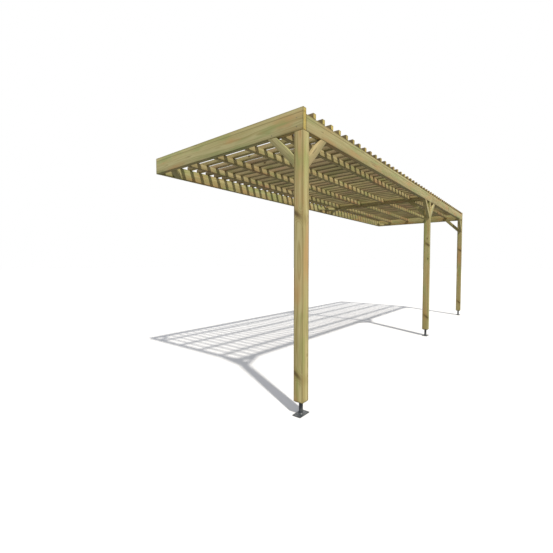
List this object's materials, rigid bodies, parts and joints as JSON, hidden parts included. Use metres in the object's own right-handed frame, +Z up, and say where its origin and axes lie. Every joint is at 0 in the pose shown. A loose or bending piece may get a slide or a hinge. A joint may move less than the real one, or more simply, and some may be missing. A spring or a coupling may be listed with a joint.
{
  "type": "lean-to pergola",
  "caption": "Lean-to timber pergola: slatted open roof between a wall ledger and a front header on braced posts with steel feet.",
  "frame": {"origin": "on the ledger's wall face, at the middle of the pergola's length and of the ledger's height, 2.37 m above the ground", "axes": "+X along the wall to the right as seen from the front, +Y into the wall, +Z up"},
  "size_m": [6.95, 2.08, 2.48],
  "materials": {
    "post_timber": "planed pressure-treated pine, eased edges",
    "beam_timber": "planed pressure-treated pine",
    "purlin_timber": "planed pressure-treated pine",
    "slat_timber": "planed pressure-treated pine",
    "brace_timber": "planed pressure-treated pine",
    "dark_steel": "dark powder coat on a welded steel foot"
  },
  "bodies": {
    "root": {"post_left": "post_timber", "post_middle": "post_timber", "post_right": "post_timber", "foot_left": "dark_steel", "foot_middle": "dark_steel", "foot_right": "dark_steel", "side_beam_left": "beam_timber", "side_beam_right": "beam_timber", "header_left": "beam_timber", "header_right": "beam_timber", "ledger_left": "beam_timber", "ledger_right": "beam_timber", "middle_rafter": "purlin_timber", "purlin_1_left": "purlin_timber", "purlin_1_right": "purlin_timber", "purlin_2_left": "purlin_timber", "purlin_2_right": "purlin_timber", "purlin_3_left": "purlin_timber", "purlin_3_right": "purlin_timber", "purlin_4_left": "purlin_timber", "purlin_4_right": "purlin_timber", "brace_left_side": "brace_timber", "brace_left_front": "brace_timber", "brace_middle_left": "brace_timber", "brace_middle_right": "brace_timber", "brace_middle_rafter": "brace_timber", "brace_right_front": "brace_timber", "brace_right_side": "brace_timber", "corner_brace_left": "brace_timber", "corner_brace_middle_left": "brace_timber", "corner_brace_middle_right": "brace_timber", "corner_brace_right": "brace_timber", "slats_1": "slat_timber", "slats_2": "slat_timber", "slats_3": "slat_timber", "slats_4": "slat_timber", "slats_5": "slat_timber", "slats_6": "slat_timber", "slats_7": "slat_timber", "slats_8": "slat_timber"}
  },
  "joints": []
}
